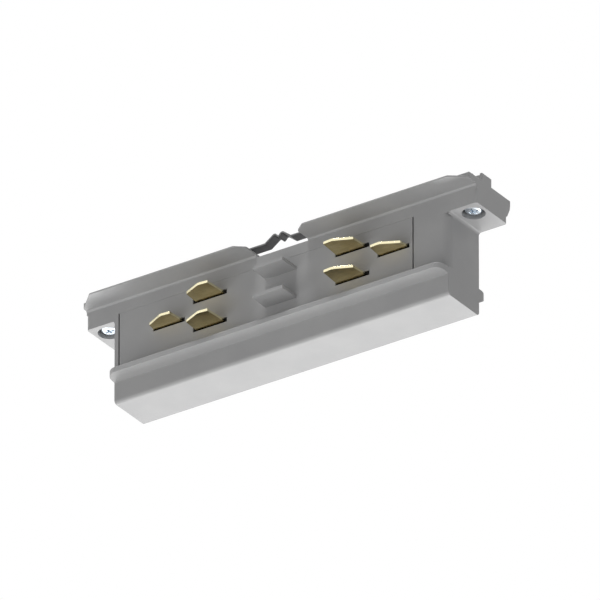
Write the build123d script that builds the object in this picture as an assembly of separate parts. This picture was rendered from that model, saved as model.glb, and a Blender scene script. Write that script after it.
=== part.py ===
from build123d import *
import os

# Straight connector that joins two lengths of lighting track end to end.
# X runs along the connector, Y from its front face to its back face, and Z upwards.
# The origin is the middle of the underside, and every size is in millimetres.

# Housing
body_length = 120.0
body_depth = 16.2
floor_thickness = 1.6
end_wall_thickness = 1.4
side_wall_thickness = 1.6
roof_thickness = 1.7
lower_edge_radius = 1.2
wall_corner_radius = 2.3
support_rib_thickness = 1.6
support_rib_spacing = 60.0

# End lugs
lug_length = 10.1
lug_fillet_radius = 1.0
lug_edge_radius = 0.8
end_rib_height = 1.8
end_rib_length = 6.0
end_rib_edge_radius = 0.4

# Lower ledges, one along each side, of different height at their roots
ledge_depth = 4.75
ledge_top_height = 9.6
ledge_edge_height = 1.9
ledge_corner_radius = 3.2
ledge_edge_radius = 0.6
front_ledge_root_height = 7.0
rear_ledge_root_height = 4.5

# Top flanges, one along each side, each in two lengths with a notch between them
flange_root_thickness = 1.1
flange_edge_thickness = 0.45
flange_depth = 8.15
flange_step_depth = 0.4
flange_inner_thickness = 0.5
flange_corner_radius = 1.1
wide_flange_end_run = 5.2
wide_flange_end_depth = 4.4
narrow_flange_end_run = 6.45
narrow_flange_end_depth = 1.65
rear_gusset_height = 3.3
rear_gusset_depth = 1.65
notch_length = 18.4
notch_shift = 0.55
notch_corner_run = 3.2
notch_corner_depth = 2.6

# Windows in the side walls, and the contact panels that fill them
window_lower_margin = 1.15
window_upper_margin = 3.75
seam_end_gap = 0.45
seam_long_gap = 0.05
panel_peg_radius = 1.0
panel_peg_length = 2.0
panel_peg_spacing_x = 76.0
panel_peg_lower_margin = 1.9
panel_peg_upper_margin = 1.6
tab_length = 7.2
tab_thickness = 1.1
tab_root_width = 11.2
tab_tip_width = 10.8
tab_rise = 0.35

# Contact slots in the panels, in three rows
slot_pitch = 4.8
lowest_slot_rise = 4.7
slot_height = 1.6
upper_slot_margin = 3.5
slot_end_margin = 1.5
outer_row_slot_start = 19.45
outer_row_slot_length = 12.25
middle_row_slot_start = 34.6
middle_row_slot_length = 11.45

# Conductor plates, each with a contact nose at both ends
conductor_thickness = 0.8
conductor_bar_depth = 2.35
conductor_rise = 0.4
conductor_shift = 0.2
conductor_travel = 1.2
conductor_end_margin = 0.4
nose_margin = 0.85
outer_row_nose_outer_margin = 1.3
middle_row_nose_outer_margin = 0.55
outer_row_nose_depth = 8.45
middle_row_nose_depth = 6.15
crest_start = 0.55
crest_drop = 0.3
crest_length = 3.2
outer_row_ramp_drop = 2.65
middle_row_ramp_drop = 2.95
ramp_end_margin = 0.45
nose_bend_radius = 2.5
nose_corner_radius = 0.25

# Contact carrier inside the housing
carrier_end_margin = 0.7
guide_slot_height = 0.9
guide_extra_depth = 0.1
web_thickness = 1.6
spring_chamber_radius = 1.35
pad_recess = 0.4
pad_passage_margin = 0.15

# Contact springs
spring_coil_radius = 0.95
spring_wire_radius = 0.15
spring_turns = 4
seat_gap = 0.05

# Earth spring along the top, and the rails that it lies on
earth_spring_y = -2.8
earth_spring_width = 3.6
earth_spring_thickness = 0.5
earth_spring_end_margin = 0.8
earth_spring_rise = 4.65
earth_spring_end_drop = 0.8
earth_spring_ramp_run = 3.2
earth_spring_bend_radius = 0.6
hook_depth = 1.9
bump_start_x = -8.1
bump_left_peak_x = -4.7
bump_right_peak_x = -2.1
bump_peak_height = 2.4
bump_valley_x = -3.3
bump_valley_height = 0.95
bump_stop_x = 1.0
rail_width = 5.0
rail_setback = 6.8
cheek_base_length = 4.8
cheek_top_length = 2.4
cheek_height = 1.4

# Clamp screws, their spring washers and their threaded inserts
screw_inset = 5.4
head_recess = 0.55
head_radius = 2.8
head_height = 2.3
head_edge_radius = 1.1
cross_width = 0.8
cross_length = 3.1
cross_depth = 1.3
thread_radius = 1.5
shank_length = 6.2
shank_tip_chamfer = 0.4
screw_travel = 1.25
counterbore_radius = 3.6
washer_outer_radius = 3.0
washer_thickness = 0.8
washer_split = 0.5
insert_radius = 2.05
insert_length = 3.4
insert_sink = 0.2
insert_shoulder = 2.15

# Clearances
running_clearance = 0.05
sliding_clearance = 0.1
shank_hole_clearance = 0.25

# Sizes that follow from the ones above
half_length = body_length / 2
half_depth = body_depth / 2
half_total = half_length + lug_length
half_notch = notch_length / 2
window_bottom = ledge_top_height + window_lower_margin
lowest_slot_height = window_bottom + lowest_slot_rise
window_top = lowest_slot_height + 2 * slot_pitch + slot_height + upper_slot_margin
window_left = -half_length + end_wall_thickness
window_right = middle_row_slot_start + middle_row_slot_length + slot_end_margin
flange_root_height = window_top + window_upper_margin
top_height = flange_root_height + flange_root_thickness
panel_back = half_depth - side_wall_thickness
cavity_top = flange_root_height - roof_thickness
carrier_half_length = window_right - carrier_end_margin
carrier_face = panel_back - sliding_clearance
carrier_bottom = window_bottom + sliding_clearance
carrier_top = window_top - sliding_clearance
bar_front = panel_back - running_clearance
bar_back = bar_front - conductor_bar_depth
chamber_floor = web_thickness / 2
earth_spring_height = top_height + earth_spring_rise
earth_spring_end_height = earth_spring_height - earth_spring_end_drop
earth_spring_half_length = half_total - earth_spring_end_margin
screw_x = half_length + screw_inset
insert_top = earth_spring_end_height - insert_sink
insert_bottom = insert_top - insert_length
counterbore_top = insert_bottom - insert_shoulder
washer_bottom = counterbore_top - running_clearance - screw_travel - washer_thickness
bearing_height = washer_bottom - running_clearance
lug_underside_height = bearing_height - head_height - head_recess
row_names = ("lower", "middle", "upper")


def block(x0, x1, y0, y1, z0, z1):
    """A plain block between two opposite corners."""
    middle = Pos((x0 + x1) / 2, (y0 + y1) / 2, (z0 + z1) / 2)
    return middle * Box(abs(x1 - x0), abs(y1 - y0), abs(z1 - z0))


def bar_along_x(outline, x0, x1):
    """A bar along X whose end has an outline of (y, z) points."""
    face = Plane.YZ.offset(x0) * Polygon(*outline, align=None)
    return extrude(face, amount=x1 - x0, dir=(1, 0, 0))


def bar_along_y(outline, y0, y1):
    """A bar along Y whose side has an outline of (x, z) points."""
    face = Plane.XZ.offset(-y0) * Polygon(*outline, align=None)
    return extrude(face, amount=y1 - y0, dir=(0, 1, 0))


def plate(outline, z0, z1):
    """A level plate with an outline of (x, y) points."""
    face = Plane.XY.offset(z0) * Polygon(*outline, align=None)
    return extrude(face, amount=z1 - z0, dir=(0, 0, 1))


def turned(shape):
    """The same piece on the other side, a half turn about the upright axis away."""
    return Rot(0, 0, 180) * shape


def mirrored_ends(make):
    """The same feature at the right end and, mirrored, at the left end."""
    right = make()
    return [right, mirror(right, about=Plane.YZ)]


def ledge(side, root_height):
    """A rounded ledge along one side, -1 for the front and 1 for the back."""
    edge_y = half_depth + ledge_depth
    edge_bottom = ledge_top_height - ledge_edge_height
    outline = [
        (0, root_height),
        (side * half_depth, root_height),
        (side * edge_y, edge_bottom),
        (side * edge_y, ledge_top_height),
        (0, ledge_top_height),
    ]
    bar = bar_along_x(outline, -half_length, half_length)
    outer = bar.edges().filter_by(Axis.Z).group_by(Axis.Y)[0 if side < 0 else -1]
    bar = fillet(outer, ledge_corner_radius)
    top_edges = bar.faces().sort_by(Axis.Z)[-1].edges()
    outer_top = top_edges.filter_by(lambda e: side * e.center().Y > half_depth)
    return fillet(outer_top, ledge_edge_radius)


def flange_half(side, end):
    """One length of flange, from the notch to one end, with its corners cut off."""
    wide = side * end < 0
    end_depth = wide_flange_end_depth if wide else narrow_flange_end_depth
    end_run = wide_flange_end_run if wide else narrow_flange_end_run
    inner_y = side * half_depth / 2
    edge_y = side * (half_depth + flange_depth)
    notch_x = notch_shift + end * half_notch
    end_x = end * half_total
    plan = Polygon(
        (notch_x, inner_y),
        (notch_x, edge_y - side * notch_corner_depth),
        (notch_x + end * notch_corner_run, edge_y),
        (end_x - end * end_run, edge_y),
        (end_x, side * (half_depth + end_depth)),
        (end_x, inner_y),
        align=None,
    )
    outer = [v for v in plan.vertices() if side * v.Y > half_depth]
    plan = fillet(outer, flange_corner_radius)
    low = flange_root_height - rear_gusset_height
    slab = extrude(Plane.XY.offset(low) * plan, amount=top_height - low, dir=(0, 0, 1))
    if side < 0:
        root = [(inner_y, flange_root_height), (-half_depth, flange_root_height)]
    else:
        root = [
            (inner_y, low),
            (half_depth, low),
            (half_depth + rear_gusset_depth, flange_root_height),
        ]
    outline = root + [
        (root[-1][0] + side * flange_step_depth, top_height - flange_inner_thickness),
        (edge_y, top_height - flange_edge_thickness),
        (edge_y, top_height),
        (inner_y, top_height),
    ]
    return slab & bar_along_x(outline, min(notch_x, end_x), max(notch_x, end_x))


def end_rib():
    """The raised rib across the top of the right end, over both flanges."""
    front = -half_depth - wide_flange_end_depth + end_rib_edge_radius
    back = half_depth + narrow_flange_end_depth
    top = top_height + end_rib_height
    rib = block(half_total - end_rib_length, half_total, front, back,
                top_height - flange_edge_thickness, top)
    top_edges = rib.faces().sort_by(Axis.Z)[-1].edges()
    return fillet(top_edges, end_rib_edge_radius)


def lug():
    """The lug that stands out of the right end and carries a clamp screw."""
    inner_x = half_length - wall_corner_radius - end_wall_thickness
    body = block(inner_x, half_total, -half_depth, half_depth, lug_underside_height, top_height)
    corners = body.edges().filter_by(Axis.Z).group_by(Axis.X)[-1]
    body = fillet(corners, lug_edge_radius)
    root = lug_fillet_radius
    web = block(half_length, half_length + root, -half_depth, half_depth,
                lug_underside_height - root, lug_underside_height)
    curve = Pos(half_length + root, 0, lug_underside_height - root)
    return body + (web - curve * Rot(90, 0, 0) * Cylinder(root, body_depth))


def guide_cheek(side):
    """A cheek on the rail beside the clamp screw, which keeps the earth spring in line."""
    foot = earth_spring_end_height
    outline = [
        (screw_x - cheek_base_length / 2, foot - cheek_height),
        (screw_x - cheek_base_length / 2, foot),
        (screw_x - cheek_top_length / 2, foot + cheek_height),
        (screw_x + cheek_top_length / 2, foot + cheek_height),
        (screw_x + cheek_base_length / 2, foot),
        (screw_x + cheek_base_length / 2, foot - cheek_height),
    ]
    inner = earth_spring_y + side * (earth_spring_width / 2 + running_clearance)
    outer = earth_spring_y + side * rail_width / 2
    return bar_along_y(outline, min(inner, outer), max(inner, outer))


def rail():
    """The rail on top of the right half, whose top follows the earth spring."""
    start = half_notch + rail_setback
    ramp_start = half_length - earth_spring_ramp_run
    stop = earth_spring_half_length + running_clearance
    outline = [
        (start, cavity_top),
        (half_total, cavity_top),
        (half_total, earth_spring_end_height + earth_spring_thickness),
        (stop, earth_spring_end_height + earth_spring_thickness),
        (stop, earth_spring_end_height),
        (half_length, earth_spring_end_height),
        (ramp_start, earth_spring_height),
        (start, earth_spring_height),
    ]
    y0 = earth_spring_y - rail_width / 2
    slot_inner = stop - earth_spring_thickness - 2 * running_clearance
    half_width = earth_spring_width / 2 + running_clearance
    slot_bottom = earth_spring_end_height - hook_depth - running_clearance
    slot = block(slot_inner, stop, earth_spring_y - half_width, earth_spring_y + half_width,
                 slot_bottom, earth_spring_end_height)
    bar = bar_along_y(outline, y0, y0 + rail_width) - slot
    for x, z in ((ramp_start, earth_spring_height), (slot_inner, earth_spring_end_height)):
        crest = bar.edges().filter_by(Axis.Y).sort_by_distance((x, earth_spring_y, z))[0]
        bar = fillet(crest, earth_spring_bend_radius)
    return bar + guide_cheek(-1) + guide_cheek(1)


def screw_hole():
    """The counterbore, shank hole and insert bore in the right lug."""
    depth = counterbore_top - lug_underside_height
    counterbore = Pos(screw_x, earth_spring_y, lug_underside_height + depth / 2)
    counterbore = counterbore * Cylinder(counterbore_radius, depth)
    rise = earth_spring_end_height - lug_underside_height
    shank_hole = Pos(screw_x, earth_spring_y, lug_underside_height + rise / 2)
    shank_hole = shank_hole * Cylinder(thread_radius + shank_hole_clearance, rise)
    bore_length = earth_spring_end_height - insert_bottom
    bore = Pos(screw_x, earth_spring_y, earth_spring_end_height - bore_length / 2)
    return counterbore + shank_hole + bore * Cylinder(insert_radius, bore_length)


def housing():
    """The moulded housing: lower box, ledges, walls, lugs, flanges and rails."""
    lower = block(-half_length, half_length, -half_depth, half_depth, 0, ledge_top_height)
    lower = fillet(lower.edges().filter_by(Axis.X).group_by(Axis.Z)[0], lower_edge_radius)
    wall = block(-half_length, half_length, -half_depth, half_depth,
                 ledge_top_height / 2, flange_root_height)
    rounded = [
        edge
        for edge in wall.edges().filter_by(Axis.Z)
        if edge.center().X * edge.center().Y < 0
    ]
    wall = fillet(rounded, wall_corner_radius)
    lower_cut = block(-half_total, half_total, -body_depth, body_depth, 0, ledge_top_height)
    body = lower + (wall - lower_cut)
    body += ledge(-1, front_ledge_root_height)
    body += ledge(1, rear_ledge_root_height)
    for piece in (
        *mirrored_ends(lug),
        *(flange_half(side, end) for side in (-1, 1) for end in (-1, 1)),
        end_rib(),
        turned(end_rib()),
        *mirrored_ends(rail),
    ):
        body += piece
    for end in (-1, 1):
        roof = block(notch_shift + end * half_notch, end * half_total, -half_depth, half_depth,
                     flange_root_height - roof_thickness / 2, top_height)
        body += roof
    cavity = block(-half_length + end_wall_thickness, half_length - end_wall_thickness,
                   -panel_back, panel_back, floor_thickness, cavity_top)
    body -= cavity
    window = block(window_left, window_right, -half_depth, 0, window_bottom, window_top)
    body -= window
    body -= turned(window)
    for hole in mirrored_ends(screw_hole):
        body -= hole
    for side in (-1, 1):
        middle = side * support_rib_spacing / 2
        body += block(middle - support_rib_thickness / 2, middle + support_rib_thickness / 2,
                      -panel_back, panel_back, floor_thickness / 2,
                      carrier_bottom - sliding_clearance)
    return body


def slot_row(row):
    """The start, length and underside height of a row of contact slots."""
    height = lowest_slot_height + row * slot_pitch
    if row == 1:
        return middle_row_slot_start, middle_row_slot_length, height
    return outer_row_slot_start, outer_row_slot_length, height


def peg_places():
    """Where the panel's pegs enter the carrier."""
    for x in (-panel_peg_spacing_x / 2, panel_peg_spacing_x / 2):
        for z in (carrier_bottom + panel_peg_lower_margin, carrier_top - panel_peg_upper_margin):
            yield x, z


def contact_panel():
    """The front panel: a plate with six contact slots, two tabs and four pegs."""
    body = block(window_left + seam_end_gap, window_right - seam_end_gap,
                 -half_depth, -panel_back,
                 window_bottom + seam_long_gap, window_top - seam_long_gap)
    for row in range(len(row_names)):
        start, length, height = slot_row(row)
        for side in (-1, 1):
            body -= block(side * start, side * (start + length),
                          -body_depth, -panel_back + 1, height, height + slot_height)
    for row in (0, 2):
        height = slot_row(row)[2] + tab_rise
        outline = [
            (-tab_root_width / 2, -half_depth + side_wall_thickness / 2),
            (-tab_root_width / 2, -half_depth),
            (-tab_tip_width / 2, -half_depth - tab_length),
            (tab_tip_width / 2, -half_depth - tab_length),
            (tab_root_width / 2, -half_depth),
            (tab_root_width / 2, -half_depth + side_wall_thickness / 2),
        ]
        body += plate(outline, height, height + tab_thickness)
    for x, z in peg_places():
        peg = Pos(x, -panel_back + panel_peg_length / 2, z) * Rot(90, 0, 0)
        body += peg * Cylinder(panel_peg_radius, panel_peg_length)
    return body


def nose_reach(row):
    """The x of a contact nose's inner and outer root, counted from the middle."""
    start, length, height = slot_row(row)
    outer_margin = middle_row_nose_outer_margin if row == 1 else outer_row_nose_outer_margin
    return start + nose_margin, start + length - outer_margin


def nose_outline(row, side):
    """The outline of a contact nose: a ramp on its outer side and a level crest."""
    inner, outer = nose_reach(row)
    depth = middle_row_nose_depth if row == 1 else outer_row_nose_depth
    drop = middle_row_ramp_drop if row == 1 else outer_row_ramp_drop
    points = [
        (inner, bar_front - conductor_bar_depth / 2),
        (inner, half_depth),
        (inner + crest_start, half_depth + depth - crest_drop),
        (inner + crest_start + crest_length, half_depth + depth),
        (outer - ramp_end_margin, half_depth + depth - drop),
        (outer, half_depth),
        (outer, bar_front - conductor_bar_depth / 2),
    ]
    return [(side * x - conductor_shift, -y) for x, y in points]


def conductor(row):
    """A flat stamped conductor plate that joins its two contact noses."""
    start, length, slot_bottom = slot_row(row)
    bottom = slot_bottom + conductor_rise
    reach = middle_row_slot_start + middle_row_slot_length - conductor_end_margin
    bar = [
        (-reach - conductor_shift, -bar_front),
        (reach - conductor_shift, -bar_front),
        (reach - conductor_shift, -bar_back),
        (-reach - conductor_shift, -bar_back),
    ]
    body = plate(bar, bottom, bottom + conductor_thickness)
    for side in (-1, 1):
        nose = plate(nose_outline(row, side), bottom, bottom + conductor_thickness)
        edges = nose.edges().filter_by(Axis.Z).group_by(Axis.Y)
        tips = [e for group in edges for e in group if e.center().Y < -half_depth - 1]
        bend = sorted(tips, key=lambda e: e.center().Y)[0]
        others = [e for e in tips if e is not bend]
        nose = fillet(others, nose_corner_radius)
        bend_edges = nose.edges().filter_by(Axis.Z)
        bend_edge = bend_edges.sort_by(lambda e: (e.center() - bend.center()).length)[0]
        body += fillet(bend_edge, nose_bend_radius)
    return body


def spring_places(row):
    """The x and z of the two springs behind a conductor plate."""
    start, length, slot_bottom = slot_row(row)
    z = slot_bottom + conductor_rise + conductor_thickness / 2
    return [(side * (start + length / 2), z) for side in (-1, 1)]


def contact_spring(row, end):
    """A coil spring between the carrier's web and the back of a conductor plate."""
    x, z = spring_places(row)[end]
    front = -bar_back + seat_gap + spring_wire_radius
    back = -chamber_floor - seat_gap - spring_wire_radius
    length = back - front
    path = Helix(pitch=length / spring_turns, height=length, radius=spring_coil_radius)
    section = Plane(path @ 0, z_dir=path % 0) * Circle(spring_wire_radius)
    coil = sweep(section, path=path, is_frenet=True)
    return Pos(x, front, z) * Rot(-90, 0, 0) * coil


def contact_pads():
    """The pads on the carrier's front, one in each panel slot, cut through for the nose."""
    for row in range(len(row_names)):
        start, length, height = slot_row(row)
        middle = height + conductor_rise + conductor_thickness / 2
        inner, outer = nose_reach(row)
        for side in (-1, 1):
            pad = block(side * (start + running_clearance),
                        side * (start + length - running_clearance),
                        -half_depth + pad_recess, -chamber_floor,
                        height + running_clearance, height + slot_height - running_clearance)
            passage = block(side * inner - conductor_shift - side * pad_passage_margin,
                            side * outer - conductor_shift + side * pad_passage_margin,
                            -half_depth, 0,
                            middle - guide_slot_height / 2, middle + guide_slot_height / 2)
            yield pad - passage


def carrier():
    """The carrier: pads, guide slots and spring chambers on both sides of a middle web."""
    half = carrier_half_length
    body = block(-half, half, -carrier_face, carrier_face, carrier_bottom, carrier_top)
    for pad in contact_pads():
        body += pad
        body += turned(pad)
    guide_back = bar_back - conductor_travel - guide_extra_depth
    cuts = []
    for row in range(len(row_names)):
        middle = slot_row(row)[2] + conductor_rise + conductor_thickness / 2
        cuts.append(block(-half, half, -panel_back, -guide_back,
                          middle - guide_slot_height / 2, middle + guide_slot_height / 2))
        for x, z in spring_places(row):
            depth = carrier_face - chamber_floor
            place = Pos(x, -carrier_face + depth / 2, z) * Rot(90, 0, 0)
            cuts.append(place * Cylinder(spring_chamber_radius, depth))
    for x, z in peg_places():
        depth = panel_peg_length + sliding_clearance
        place = Pos(x, -carrier_face + depth / 2, z) * Rot(90, 0, 0)
        cuts.append(place * Cylinder(panel_peg_radius + running_clearance, depth))
    for cut in cuts:
        body -= cut
        body -= turned(cut)
    return body


def earth_spring():
    """The earth spring: a bent strip with a creased bump and hooked ends."""
    end = earth_spring_half_length - earth_spring_thickness
    low = earth_spring_end_height
    high = earth_spring_height
    path = FilletPolyline(
        (-end, low - hook_depth),
        (-end, low),
        (-half_length, low),
        (-half_length + earth_spring_ramp_run, high),
        (bump_start_x, high),
        (bump_left_peak_x, high + bump_peak_height),
        (bump_valley_x, high + bump_valley_height),
        (bump_right_peak_x, high + bump_peak_height),
        (bump_stop_x, high),
        (half_length - earth_spring_ramp_run, high),
        (half_length, low),
        (end, low),
        (end, low - hook_depth),
        radius=earth_spring_bend_radius,
    )
    outline = offset(path, amount=earth_spring_thickness, side=Side.LEFT, closed=True)
    y0 = earth_spring_y - earth_spring_width / 2
    face = Plane.XZ.offset(-y0) * make_face(outline.edges())
    return extrude(face, amount=-earth_spring_width)


def clamp_screw():
    """A pan-head screw, head downwards, with a cross recess, for the right lug."""
    head = Pos(0, 0, -head_height / 2) * Cylinder(head_radius, head_height)
    head = fillet(head.edges().sort_by(Axis.Z)[0], head_edge_radius)
    for turn in (0, 90):
        cross = Box(cross_length, cross_width, cross_depth)
        head -= Pos(0, 0, -head_height + cross_depth / 2) * Rot(0, 0, turn) * cross
    shank = Pos(0, 0, shank_length / 2) * Cylinder(thread_radius - running_clearance, shank_length)
    shank = chamfer(shank.edges().sort_by(Axis.Z)[-1], shank_tip_chamfer)
    return Pos(0, 0, bearing_height) * (head + shank)


def spring_washer():
    """The split spring washer on the head of a clamp screw."""
    ring = Cylinder(washer_outer_radius, washer_thickness)
    ring -= Cylinder(thread_radius + running_clearance, washer_thickness)
    split = Pos(washer_outer_radius / 2, 0, 0)
    ring -= split * Box(washer_outer_radius, washer_split, washer_thickness)
    return Pos(0, 0, washer_bottom + washer_thickness / 2) * ring


def threaded_insert():
    """The brass insert in which a clamp screw runs."""
    body = Cylinder(insert_radius, insert_length) - Cylinder(thread_radius, insert_length)
    return Pos(0, 0, insert_top - insert_length / 2) * body


def pieces():
    """Every piece by name, in its place."""
    yield "housing", housing()
    yield "contact_carrier", carrier()
    panel = contact_panel()
    yield "front_contact_panel", panel
    yield "rear_contact_panel", turned(panel)
    for row, name in enumerate(row_names):
        plate_piece = conductor(row)
        yield f"front_{name}_conductor", plate_piece
        yield f"rear_{name}_conductor", turned(plate_piece)
        for end, end_name in enumerate(("left", "right")):
            yield f"front_{name}_{end_name}_spring", contact_spring(row, end)
            other = ("right", "left")[end]
            yield f"rear_{name}_{other}_spring", turned(contact_spring(row, end))
    yield "earth_spring", earth_spring()
    for name, side in (("left", -1), ("right", 1)):
        place = Pos(side * screw_x, earth_spring_y, 0)
        yield f"{name}_clamp_screw", place * clamp_screw()
        yield f"{name}_spring_washer", place * spring_washer()
        yield f"{name}_threaded_insert", place * threaded_insert()


os.makedirs("parts", exist_ok=True)
for node, shape in pieces():
    export_step(shape, f"parts/{node}.step")
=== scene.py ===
import math

import bmesh
import bpy
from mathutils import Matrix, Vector


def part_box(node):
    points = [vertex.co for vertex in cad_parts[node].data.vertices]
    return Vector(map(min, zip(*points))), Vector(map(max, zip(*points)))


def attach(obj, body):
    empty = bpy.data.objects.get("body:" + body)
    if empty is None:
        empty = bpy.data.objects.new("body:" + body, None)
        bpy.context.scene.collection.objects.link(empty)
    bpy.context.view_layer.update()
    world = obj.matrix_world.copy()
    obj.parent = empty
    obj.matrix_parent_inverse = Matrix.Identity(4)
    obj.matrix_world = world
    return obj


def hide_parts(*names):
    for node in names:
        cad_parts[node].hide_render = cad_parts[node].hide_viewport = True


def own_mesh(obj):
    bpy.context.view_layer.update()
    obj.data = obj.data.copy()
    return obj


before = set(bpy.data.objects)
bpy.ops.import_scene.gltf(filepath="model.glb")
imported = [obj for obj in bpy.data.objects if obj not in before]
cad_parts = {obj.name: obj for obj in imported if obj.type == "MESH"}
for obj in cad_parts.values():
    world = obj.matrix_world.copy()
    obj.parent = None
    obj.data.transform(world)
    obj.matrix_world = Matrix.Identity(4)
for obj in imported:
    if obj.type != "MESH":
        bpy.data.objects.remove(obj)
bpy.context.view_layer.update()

MM = 0.001
SIDES = ("front", "rear")
ROWS = ("lower", "middle", "upper")
ENDS = ("left", "right")

# The photograph is close to a parallel view, from below, in front and to the right.
PHOTO_AZIMUTH = math.radians(34.074)
PHOTO_ELEVATION = math.radians(-29.056)
PHOTO_WIDTH = 178.62 * MM
CAMERA_DISTANCE = 8.0
SENSOR_WIDTH = 36.0
CLIP_START = 0.1
CLIP_END = 100.0
AIM_HEIGHT = 20.0 * MM
AIM_RIGHT = 1.13 * MM
AIM_UP = 0.344 * MM

# Light: a level of 1 renders a surface that faces the lamp about as its colour is written.
# Each lamp has the direction that it shines from, its level and its softness in degrees.
AMBIENT_LEVEL = 0.216
LAMPS = {
    "below_back": ((0.0, 1.0, -1.0), 0.55, 15),
    "below_back_left": ((-0.7, 0.7, -1.0), 0.32, 30),
    "below_left": ((-1.0, 0.0, -1.0), 0.21, 60),
    "low_left": ((-1.0, 0.0, -0.5), 0.09, 30),
    "below_front_left": ((-0.7, -0.7, -1.0), 0.21, 60),
    "low_front_left": ((-0.7, -0.7, -0.4), 0.085, 30),
    "below_front": ((0.0, -1.0, -1.0), 0.14, 60),
    "front": ((0.0, -1.0, 0.0), 0.055, 15),
    "below_right": ((1.0, 0.0, -1.0), 0.07, 60),
    "low_right": ((1.0, 0.0, -0.4), 0.11, 60),
    "right": ((1.0, 0.0, 0.0), 0.063, 15),
    "top": ((0.0, -0.2, 1.0), 0.70, 20),
}

# Colours, linear
PLASTIC_GREY = (0.370, 0.370, 0.370)
PLASTIC_DARK = (0.345, 0.345, 0.347)
# The carrier is black plastic, with its value set near pure black so that it also stands in for
# the shade deep inside the contact slots (painted shade)
CARRIER_BLACK_AND_SLOT_SHADE = (0.004, 0.004, 0.004)
BRASS_LIGHT = (0.72, 0.62, 0.34)
BRASS_DARK = (0.46, 0.37, 0.18)
# Painted highlight: a light cream on the upright edge faces of the brass, standing in for the
# glint those edges catch
BRASS_EDGE_HIGHLIGHT = (0.97, 0.90, 0.60)
STRIP_GREY = (0.20, 0.20, 0.20)
STRIP_DARK = (0.11, 0.11, 0.115)
ZINC_LIGHT = (0.74, 0.79, 0.84)
ZINC_DARK = (0.50, 0.56, 0.62)
STEEL_GREY = (0.55, 0.55, 0.56)
STEEL_DARK = (0.38, 0.38, 0.39)
FLOOR_PALE = (0.86, 0.86, 0.86)

# Moulded plastic: a faint cloudiness, and a grain whose scale is per metre
CLOUD_SCALE = 90.0
CLOUD_DETAIL = 4.0
CLOUD_RANGE = (0.35, 0.65)
GRAIN_SCALE = 3200.0
GRAIN_DETAIL = 2.0
GRAIN_RANGE = (0.3, 0.7)
GRAIN_ROUGHER = 0.05
GRAIN_STRENGTH = 0.10
GRAIN_DEPTH = 0.03 * MM
PLASTIC_IOR = 1.46
PLASTIC_ROUGHNESS = 0.52
PLASTIC_SHINE = 0.5
CARRIER_ROUGHNESS = 0.85
CARRIER_SHINE = 0.2

# Metal parts: rolled marks are fine across the part and long along it, plated ones even
ROLLED_ALONG = (60.0, 900.0, 900.0)
PLATED_ALONG = (300.0, 300.0, 300.0)
LINE_SCALE = 6.0
LINE_DETAIL = 4.0
LINE_RANGE = (0.3, 0.7)
LINE_TONES = (0.4, 1.0)
LINE_SMOOTHER = 0.07
LINE_ROUGHER = 0.09
MOTTLE_SCALE = 160.0
MOTTLE_DETAIL = 3.0
MOTTLE_RANGE = (0.35, 0.65)
MOTTLE_TONES = (0.3, 1.0)
LEVEL_RANGE = (0.4, 0.8)
LINE_STRENGTH = 0.15
LINE_DEPTH = 0.02 * MM
BRASS_ROUGHNESS = 0.17
STRIP_ROUGHNESS = 0.45
ZINC_ROUGHNESS = 0.28
STEEL_ROUGHNESS = 0.35

# The floor, and where it fades from the middle outwards
FLOOR_HALF_SIZE = 1.5
FLOOR_HEIGHT = -0.2 * MM
FLOOR_FADE_START = 0.16
FLOOR_FADE_END = 0.9

# Softened edges
EDGE_RADIUS = 0.25 * MM
PANEL_EDGE_RADIUS = 0.06 * MM
METAL_EDGE_RADIUS = 0.08 * MM

# Clamp screws, as in the solids
HEAD_RADIUS = 2.8 * MM
HEAD_HEIGHT = 2.3 * MM
HEAD_EDGE = 1.1 * MM
HEAD_FLAT = 0.35 * MM
HEAD_STEPS = 72
HEAD_EDGE_STEPS = 12
HEAD_SHARP_ANGLE = 32
# The head's rim at its bearing face: each point's inset and drop, in millimetres
HEAD_RIM = ((0.0, 0.12), (0.05, 0.03), (0.15, 0.0))
THREAD_OUTER = 1.45 * MM
THREAD_ROOT = 1.2 * MM
THREAD_PITCH = 0.5 * MM
THREAD_STEPS = 48
THREAD_RINGS_PER_PITCH = 8
THREAD_STEEPNESS = 2.6
THREAD_START = 0.05 * MM
THREAD_RUNOUT = 0.4 * MM
TIP_CHAMFER = 0.1 * MM
TIP_SHARES = (0.8, 0.7)
SHANK_LENGTH = 6.2 * MM
CROSS_SPAN = 1.62 * MM
CROSS_WIDTH = 0.42 * MM
CROSS_DEPTH = 1.35 * MM
CROSS_OVERLAP = 0.2 * MM
CROSS_HALFWAY_SHARE = 0.74
CROSS_BOTTOM_SHARE = 0.36
CROSS_WIDTH_TAPER = 0.45

# Contact springs
SPRING_TURNS = 5
SPRING_WIRE = 0.15 * MM
SPRING_COIL = 0.95 * MM
SPRING_WIRE_STEPS = 12
SPRING_TURN_STEPS = 28
SPRING_END_TURN = 0.6
SPRING_END_CLOSING = 0.06


def new_material(name):
    """An empty node material: its tree, its shader and its texture coordinates."""
    material = bpy.data.materials.new(name)
    material.use_nodes = True
    tree = material.node_tree
    tree.nodes.clear()
    output = tree.nodes.new("ShaderNodeOutputMaterial")
    shader = tree.nodes.new("ShaderNodeBsdfPrincipled")
    tree.links.new(shader.outputs["BSDF"], output.inputs["Surface"])
    coordinates = tree.nodes.new("ShaderNodeTexCoord")
    return material, tree, shader, coordinates.outputs["Object"]


def stretched(tree, vector, scale):
    """Coordinates that are scaled by a different amount along each axis."""
    mapping = tree.nodes.new("ShaderNodeMapping")
    mapping.inputs["Scale"].default_value = scale
    tree.links.new(vector, mapping.inputs["Vector"])
    return mapping.outputs["Vector"]


def noise(tree, vector, scale, detail):
    """A noise texture's value."""
    texture = tree.nodes.new("ShaderNodeTexNoise")
    texture.inputs["Scale"].default_value = scale
    texture.inputs["Detail"].default_value = detail
    tree.links.new(vector, texture.inputs["Vector"])
    return texture.outputs["Fac"]


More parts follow.
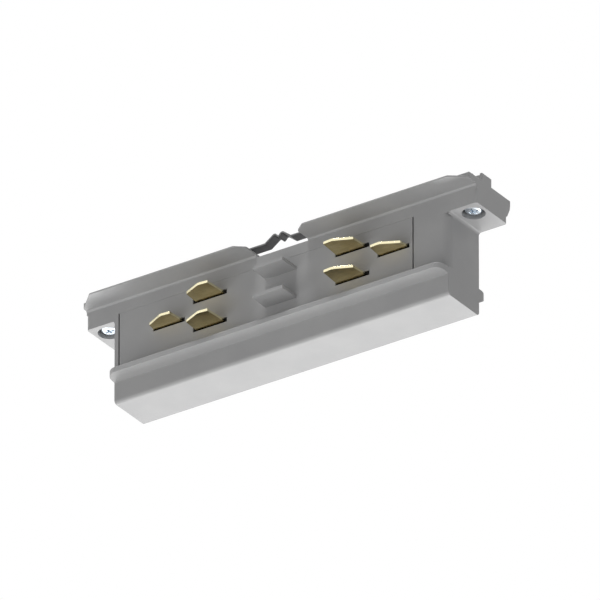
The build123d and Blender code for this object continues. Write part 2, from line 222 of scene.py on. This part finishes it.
def spread(tree, value, low, high, out_low, out_high):
    """A value mapped from one range to another."""
    mapped = tree.nodes.new("ShaderNodeMapRange")
    mapped.inputs["From Min"].default_value = low
    mapped.inputs["From Max"].default_value = high
    mapped.inputs["To Min"].default_value = out_low
    mapped.inputs["To Max"].default_value = out_high
    tree.links.new(value, mapped.inputs["Value"])
    return mapped.outputs["Result"]


def two_colours(tree, factor, first, second):
    """A mix of two colours, each of them a value or a socket."""
    mix = tree.nodes.new("ShaderNodeMix")
    mix.data_type = "RGBA"
    for name, colour in (("A", first), ("B", second)):
        if isinstance(colour, tuple):
            mix.inputs[name].default_value = (*colour, 1)
        else:
            tree.links.new(colour, mix.inputs[name])
    tree.links.new(factor, mix.inputs["Factor"])
    return mix.outputs["Result"]


def bump(tree, shader, height, strength, distance, edge=0.0):
    """Gives a shader a bumped surface, with its sharp edges softened by a radius."""
    node = tree.nodes.new("ShaderNodeBump")
    if edge:
        soft = tree.nodes.new("ShaderNodeBevel")
        soft.inputs["Radius"].default_value = edge
        tree.links.new(soft.outputs["Normal"], node.inputs["Normal"])
    node.inputs["Strength"].default_value = strength
    node.inputs["Distance"].default_value = distance
    tree.links.new(height, node.inputs["Height"])
    tree.links.new(node.outputs["Normal"], shader.inputs["Normal"])


def moulded_plastic(name, light, dark, roughness=PLASTIC_ROUGHNESS, shine=PLASTIC_SHINE,
                    edge=EDGE_RADIUS):
    """Moulded plastic: a fine spark-eroded grain and a faint cloudiness."""
    material, tree, shader, place = new_material(name)
    cloud = noise(tree, place, CLOUD_SCALE, CLOUD_DETAIL)
    colour = two_colours(tree, spread(tree, cloud, *CLOUD_RANGE, 0, 1), dark, light)
    tree.links.new(colour, shader.inputs["Base Color"])
    grain = noise(tree, place, GRAIN_SCALE, GRAIN_DETAIL)
    rough = spread(tree, grain, *GRAIN_RANGE, roughness - GRAIN_ROUGHER, roughness + GRAIN_ROUGHER)
    tree.links.new(rough, shader.inputs["Roughness"])
    shader.inputs["IOR"].default_value = PLASTIC_IOR
    shader.inputs["Specular IOR Level"].default_value = shine
    bump(tree, shader, grain, GRAIN_STRENGTH, GRAIN_DEPTH, edge)
    return material


def flat_faces(tree):
    """1 on the level faces of a stamped plate and 0 on its upright edge faces, which get the
    painted highlight colour.
    """
    geometry = tree.nodes.new("ShaderNodeNewGeometry")
    parts = tree.nodes.new("ShaderNodeSeparateXYZ")
    tree.links.new(geometry.outputs["Normal"], parts.inputs["Vector"])
    size = tree.nodes.new("ShaderNodeMath")
    size.operation = "ABSOLUTE"
    tree.links.new(parts.outputs["Z"], size.inputs[0])
    return spread(tree, size.outputs[0], *LEVEL_RANGE, 0, 1)


def rolled_metal(name, light, dark, roughness, along=ROLLED_ALONG, cut=None):
    """Rolled or drawn metal: fine lines along its length, a mottled tone and, where given, a
    painted highlight colour on its upright edge faces.
    """
    material, tree, shader, place = new_material(name)
    lines = noise(tree, stretched(tree, place, along), LINE_SCALE, LINE_DETAIL)
    patches = noise(tree, place, MOTTLE_SCALE, MOTTLE_DETAIL)
    tone = tree.nodes.new("ShaderNodeMath")
    tone.operation = "MULTIPLY"
    tree.links.new(spread(tree, lines, *LINE_RANGE, *LINE_TONES), tone.inputs[0])
    tree.links.new(spread(tree, patches, *MOTTLE_RANGE, *MOTTLE_TONES), tone.inputs[1])
    colour = two_colours(tree, tone.outputs[0], dark, light)
    # Painted highlight: the upright edge faces take the highlight colour, where one is given
    if cut:
        colour = two_colours(tree, flat_faces(tree), cut, colour)
    tree.links.new(colour, shader.inputs["Base Color"])
    shader.inputs["Metallic"].default_value = 1.0
    rough = spread(tree, lines, *LINE_RANGE, roughness - LINE_SMOOTHER, roughness + LINE_ROUGHER)
    tree.links.new(rough, shader.inputs["Roughness"])
    bump(tree, shader, lines, LINE_STRENGTH, LINE_DEPTH, METAL_EDGE_RADIUS)
    return material


def assign(node, material):
    """Gives a CAD node its material."""
    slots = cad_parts[node].data.materials
    slots.clear()
    slots.append(material)


def dress_nodes():
    """The materials of every CAD node that stays."""
    plastic = moulded_plastic("grey_plastic", PLASTIC_GREY, PLASTIC_DARK)
    panel = moulded_plastic("grey_panel_plastic", PLASTIC_GREY, PLASTIC_DARK,
                            edge=PANEL_EDGE_RADIUS)
    # Black carrier plastic, partly painted shade for the slot interiors
    carrier = moulded_plastic("black_plastic_and_slot_shade", CARRIER_BLACK_AND_SLOT_SHADE, CARRIER_BLACK_AND_SLOT_SHADE,
                              CARRIER_ROUGHNESS, CARRIER_SHINE)
    brass = rolled_metal("stamped_brass", BRASS_LIGHT, BRASS_DARK, BRASS_ROUGHNESS, cut=BRASS_EDGE_HIGHLIGHT)
    strip = rolled_metal("dark_strip", STRIP_GREY, STRIP_DARK, STRIP_ROUGHNESS)
    zinc = rolled_metal("zinc_plate", ZINC_LIGHT, ZINC_DARK, ZINC_ROUGHNESS, PLATED_ALONG)
    steel = rolled_metal("spring_steel", STEEL_GREY, STEEL_DARK, STEEL_ROUGHNESS)
    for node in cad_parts:
        if node == "housing":
            assign(node, plastic)
        elif node == "contact_carrier":
            assign(node, carrier)
        elif node.endswith("panel"):
            assign(node, panel)
        elif node.endswith("conductor") or node.endswith("insert"):
            assign(node, brass)
        elif node == "earth_spring":
            assign(node, strip)
        elif node.endswith("washer"):
            assign(node, steel)
    for end in ENDS:
        clamp_screw(end, zinc)
    for side in SIDES:
        for row in ROWS:
            for end in ENDS:
                contact_spring(side, row, end, steel)


def mesh_object(name, mesh, material):
    """A new object for a mesh, with its material and smooth faces."""
    mesh.materials.append(material)
    mesh.shade_smooth()
    piece = bpy.data.objects.new(name, mesh)
    bpy.context.scene.collection.objects.link(piece)
    return piece


def lathe(name, profile, steps, material):
    """A turned form about the Z axis, from (radius, height) points."""
    mesh = bpy.data.meshes.new(name)
    form = bmesh.new()
    rings = []
    for radius, height in profile:
        if radius == 0:
            rings.append([form.verts.new((0, 0, height))])
            continue
        ring = []
        for step in range(steps):
            turn = 2 * math.pi * step / steps
            ring.append(form.verts.new((radius * math.cos(turn), radius * math.sin(turn), height)))
        rings.append(ring)
    for lower, upper in zip(rings, rings[1:]):
        for step in range(steps):
            after = (step + 1) % steps
            corners = [lower[step % len(lower)], lower[after % len(lower)],
                       upper[after % len(upper)], upper[step % len(upper)]]
            form.faces.new(list(dict.fromkeys(corners)))
    bmesh.ops.recalc_face_normals(form, faces=form.faces)
    form.to_mesh(mesh)
    form.free()
    return mesh_object(name, mesh, material)


def thread_rings(bottom, top, steps):
    """Points of a thread's skin: rings whose radius follows the helix."""
    count = int((top - bottom) / THREAD_PITCH * THREAD_RINGS_PER_PITCH)
    for index in range(count + 1):
        height = bottom + (top - bottom) * index / count
        ring = []
        for step in range(steps):
            turn = step / steps
            phase = (height / THREAD_PITCH - turn) % 1.0
            flank = min(1.0, THREAD_STEEPNESS * abs(2 * phase - 1))
            fade = min(1.0, (top - height) / THREAD_PITCH, (height - bottom) / THREAD_PITCH)
            radius = THREAD_ROOT + (THREAD_OUTER - THREAD_ROOT) * flank * max(fade, 0.0)
            angle = 2 * math.pi * turn
            ring.append((radius * math.cos(angle), radius * math.sin(angle), height))
        yield ring


def cross_cutter(name):
    """A tapered cross that cuts the recess of a screw head from below."""
    mesh = bpy.data.meshes.new(name)
    form = bmesh.new()
    for quarter in range(2):
        rings = []
        levels = ((-CROSS_OVERLAP, 1.0), (CROSS_DEPTH / 2, CROSS_HALFWAY_SHARE),
                  (CROSS_DEPTH, CROSS_BOTTOM_SHARE))
        for height, share in levels:
            span = CROSS_SPAN * share
            width = CROSS_WIDTH * (1 - CROSS_WIDTH_TAPER * (1 - share))
            ring = [(span, width), (-span, width), (-span, -width), (span, -width)]
            if quarter:
                ring = [(-y, x) for x, y in ring]
            rings.append([form.verts.new((x, y, height)) for x, y in ring])
        for lower, upper in zip(rings, rings[1:]):
            for side in range(4):
                after = (side + 1) % 4
                form.faces.new((lower[side], lower[after], upper[after], upper[side]))
        form.faces.new(rings[0])
        form.faces.new(rings[-1])
    bmesh.ops.recalc_face_normals(form, faces=form.faces)
    form.to_mesh(mesh)
    form.free()
    cutter = bpy.data.objects.new(name, mesh)
    bpy.context.scene.collection.objects.link(cutter)
    return cutter


def apply_modifiers(piece):
    """Makes a piece's modifiers part of its mesh."""
    graph = bpy.context.evaluated_depsgraph_get()
    graph.update()
    shaped = bpy.data.meshes.new_from_object(piece.evaluated_get(graph))
    piece.modifiers.clear()
    piece.data = shaped


def clamp_screw(end, material):
    """A pan-head screw with a cross recess and a thread, in place of the plain solid."""
    node = f"{end}_clamp_screw"
    low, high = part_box(node)
    middle = (low + high) / 2
    bearing = low.z + HEAD_HEIGHT
    profile = [(0, 0), (HEAD_FLAT, 0), (HEAD_RADIUS - HEAD_EDGE, 0)]
    for step in range(1, HEAD_EDGE_STEPS + 1):
        turn = math.pi / 2 * step / HEAD_EDGE_STEPS
        profile.append((HEAD_RADIUS - HEAD_EDGE * (1 - math.sin(turn)),
                        HEAD_EDGE * (1 - math.cos(turn))))
    profile += [(HEAD_RADIUS - inset * MM, HEAD_HEIGHT - drop * MM) for inset, drop in HEAD_RIM]
    profile += [(THREAD_ROOT, HEAD_HEIGHT), (0, HEAD_HEIGHT)]
    head = lathe(f"{end}_screw_head", profile, HEAD_STEPS, material)
    cutter = cross_cutter(f"{end}_cutter")
    cut = head.modifiers.new("cross", "BOOLEAN")
    cut.operation = "DIFFERENCE"
    cut.solver = "EXACT"
    cut.use_self = True
    cut.object = cutter
    apply_modifiers(head)
    bpy.data.objects.remove(cutter)
    head.data.shade_smooth()
    head.data.set_sharp_from_angle(angle=math.radians(HEAD_SHARP_ANGLE))
    head.location = (middle.x, middle.y, low.z)
    mesh = bpy.data.meshes.new(f"{end}_screw_thread")
    form = bmesh.new()
    steps = THREAD_STEPS
    rings = [[form.verts.new(p) for p in ring]
             for ring in thread_rings(THREAD_START, SHANK_LENGTH - THREAD_RUNOUT, steps)]
    for share, height in zip(TIP_SHARES, (SHANK_LENGTH - TIP_CHAMFER, SHANK_LENGTH)):
        radius = share * THREAD_ROOT
        rings.append([form.verts.new((radius * math.cos(2 * math.pi * s / steps),
                                      radius * math.sin(2 * math.pi * s / steps), height))
                      for s in range(steps)])
    for lower, upper in zip(rings, rings[1:]):
        for step in range(steps):
            after = (step + 1) % steps
            form.faces.new((lower[step], lower[after], upper[after], upper[step]))
    form.faces.new(rings[0])
    form.faces.new(rings[-1])
    bmesh.ops.recalc_face_normals(form, faces=form.faces)
    form.to_mesh(mesh)
    form.free()
    shank = mesh_object(f"{end}_screw_shank", mesh, material)
    shank.location = (middle.x, middle.y, bearing)
    for piece in (head, shank):
        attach(piece, f"{end}_screw")
        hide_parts(node)


def spring_radius(turn):
    """The coil's radius at a turn: the end turns close in a little."""
    closing = max(0.0, 1 - turn, turn - (SPRING_TURNS - 1))
    return SPRING_COIL * (1 - SPRING_END_CLOSING * closing)


def contact_spring(side, row, end, material):
    """A coil spring with closed ends."""
    node = f"{side}_{row}_{end}_spring"
    low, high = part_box(node)
    middle = (low + high) / 2
    length = high.y - low.y - 2 * SPRING_WIRE
    around = SPRING_WIRE_STEPS
    mesh = bpy.data.meshes.new(f"{node}_coil")
    form = bmesh.new()
    rings = []
    count = SPRING_TURNS * SPRING_TURN_STEPS
    for index in range(count + 1):
        turn = index / SPRING_TURN_STEPS
        share = (turn - SPRING_END_TURN) / (SPRING_TURNS - 2 * SPRING_END_TURN)
        share = min(max(share, 0.0), 1.0)
        along = (share - 0.5) * length
        angle = 2 * math.pi * turn
        out = Vector((math.cos(angle), 0, math.sin(angle)))
        centre = out * spring_radius(turn) + Vector((0, along, 0))
        rings.append([form.verts.new(centre + SPRING_WIRE * (
            out * math.cos(2 * math.pi * k / around)
            + Vector((0, 1, 0)) * math.sin(2 * math.pi * k / around))) for k in range(around)])
    for lower, upper in zip(rings, rings[1:]):
        for k in range(around):
            after = (k + 1) % around
            form.faces.new((lower[k], lower[after], upper[after], upper[k]))
    form.faces.new(rings[0])
    form.faces.new(rings[-1])
    bmesh.ops.recalc_face_normals(form, faces=form.faces)
    form.to_mesh(mesh)
    form.free()
    coil = mesh_object(f"{node}_coil", mesh, material)
    coil.location = middle
    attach(coil, "root")
    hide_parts(node)
    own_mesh(coil)


def photo_camera():
    """The camera at the photograph's place."""
    back = Vector((
        math.sin(PHOTO_AZIMUTH) * math.cos(PHOTO_ELEVATION),
        -math.cos(PHOTO_AZIMUTH) * math.cos(PHOTO_ELEVATION),
        math.sin(PHOTO_ELEVATION),
    ))
    right = Vector((math.cos(PHOTO_AZIMUTH), math.sin(PHOTO_AZIMUTH), 0))
    up = back.cross(right)
    aim = Vector((0, 0, AIM_HEIGHT)) + right * AIM_RIGHT + up * AIM_UP
    data = bpy.data.cameras.new("photo_camera")
    data.sensor_width = SENSOR_WIDTH
    data.lens = SENSOR_WIDTH * CAMERA_DISTANCE / PHOTO_WIDTH
    data.clip_start = CLIP_START
    data.clip_end = CLIP_END
    camera = bpy.data.objects.new("photo_camera", data)
    camera.rotation_mode = "QUATERNION"
    camera.location = aim + back * CAMERA_DISTANCE
    camera.rotation_quaternion = (-back).to_track_quat("-Z", "Y")
    bpy.context.scene.collection.objects.link(camera)
    bpy.context.scene.camera = camera


def lamp(name, direction, level, softness):
    """A soft distant lamp that shines from a direction."""
    data = bpy.data.lights.new(name, "SUN")
    data.energy = level * math.pi
    data.angle = math.radians(softness)
    light = bpy.data.objects.new(name, data)
    light.rotation_mode = "QUATERNION"
    light.rotation_quaternion = (-Vector(direction)).to_track_quat("-Z", "Y")
    bpy.context.scene.collection.objects.link(light)


def light_scene():
    """Soft light from all round, strongest from below, as in the photograph."""
    for name, (direction, level, softness) in LAMPS.items():
        lamp(name, direction, level, softness)
    world = bpy.data.worlds.new("studio")
    bpy.context.scene.world = world
    world.use_nodes = True
    tree = world.node_tree
    tree.nodes.clear()
    output = tree.nodes.new("ShaderNodeOutputWorld")
    background = tree.nodes.new("ShaderNodeBackground")
    background.inputs["Color"].default_value = (1, 1, 1, 1)
    path = tree.nodes.new("ShaderNodeLightPath")
    seen = path.outputs["Is Camera Ray"]
    for other in ("Is Glossy Ray", "Is Transmission Ray"):
        either = tree.nodes.new("ShaderNodeMath")
        either.operation = "MAXIMUM"
        tree.links.new(seen, either.inputs[0])
        tree.links.new(path.outputs[other], either.inputs[1])
        seen = either.outputs[0]
    tree.links.new(spread(tree, seen, 0, 1, AMBIENT_LEVEL, 1), background.inputs["Strength"])
    tree.links.new(background.outputs[0], output.inputs["Surface"])


def make_floor():
    """A pale floor that is seen from above only, so that the view from below stays open."""
    mesh = bpy.data.meshes.new("floor")
    size = FLOOR_HALF_SIZE
    corners = [(-size, -size), (size, -size), (size, size), (-size, size)]
    mesh.from_pydata([(x, y, FLOOR_HEIGHT) for x, y in corners], [], [(0, 1, 2, 3)])
    floor = bpy.data.objects.new("floor", mesh)
    bpy.context.scene.collection.objects.link(floor)
    material = bpy.data.materials.new("pale_floor")
    material.use_nodes = True
    tree = material.node_tree
    tree.nodes.clear()
    output = tree.nodes.new("ShaderNodeOutputMaterial")
    mix = tree.nodes.new("ShaderNodeMixShader")
    clear = tree.nodes.new("ShaderNodeBsdfTransparent")
    diffuse = tree.nodes.new("ShaderNodeBsdfDiffuse")
    diffuse.inputs["Color"].default_value = (*FLOOR_PALE, 1)
    path = tree.nodes.new("ShaderNodeLightPath")
    geometry = tree.nodes.new("ShaderNodeNewGeometry")
    above = tree.nodes.new("ShaderNodeMath")
    above.operation = "SUBTRACT"
    above.inputs[0].default_value = 1.0
    tree.links.new(geometry.outputs["Backfacing"], above.inputs[1])
    distance = tree.nodes.new("ShaderNodeVectorMath")
    distance.operation = "LENGTH"
    tree.links.new(geometry.outputs["Position"], distance.inputs[0])
    shown = spread(tree, distance.outputs["Value"], FLOOR_FADE_START, FLOOR_FADE_END, 1, 0)
    for value in (path.outputs["Is Camera Ray"], above.outputs[0]):
        both = tree.nodes.new("ShaderNodeMath")
        both.operation = "MULTIPLY"
        tree.links.new(shown, both.inputs[0])
        tree.links.new(value, both.inputs[1])
        shown = both.outputs[0]
    tree.links.new(shown, mix.inputs["Fac"])
    tree.links.new(clear.outputs[0], mix.inputs[1])
    tree.links.new(diffuse.outputs[0], mix.inputs[2])
    tree.links.new(mix.outputs[0], output.inputs["Surface"])
    mesh.materials.append(material)


photo_camera()
light_scene()
make_floor()
dress_nodes()

scene = bpy.context.scene
scene.view_settings.view_transform = "Standard"
